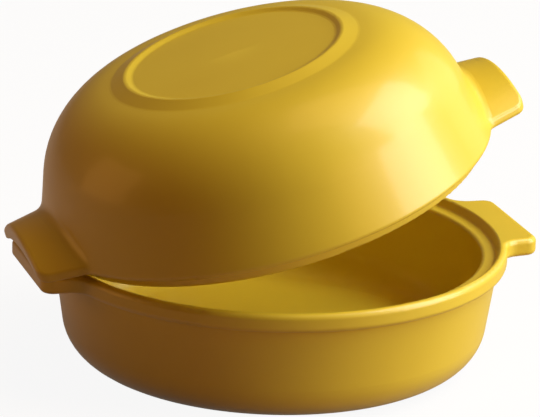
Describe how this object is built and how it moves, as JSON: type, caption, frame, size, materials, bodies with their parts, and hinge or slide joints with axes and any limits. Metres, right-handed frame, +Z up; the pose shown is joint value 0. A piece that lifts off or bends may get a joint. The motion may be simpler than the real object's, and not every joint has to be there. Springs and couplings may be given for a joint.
{
  "type": "round casserole dish",
  "caption": "Round glazed stoneware casserole dish with flat side lugs, and a tall domed lid tipped open so that its rim rests on the ledge inside the dish.",
  "frame": {"origin": "centre of the dish's foot, on the surface that it stands on", "axes": "+Z up out of the dish, +X along the lugs towards the side on which the lid is lifted"},
  "size_m": [0.1991, 0.175, 0.1314],
  "materials": {
    "yellow_glaze": "glossy"
  },
  "bodies": {
    "root": {"casserole_dish": "yellow_glaze", "domed_lid": "yellow_glaze"}
  },
  "joints": []
}
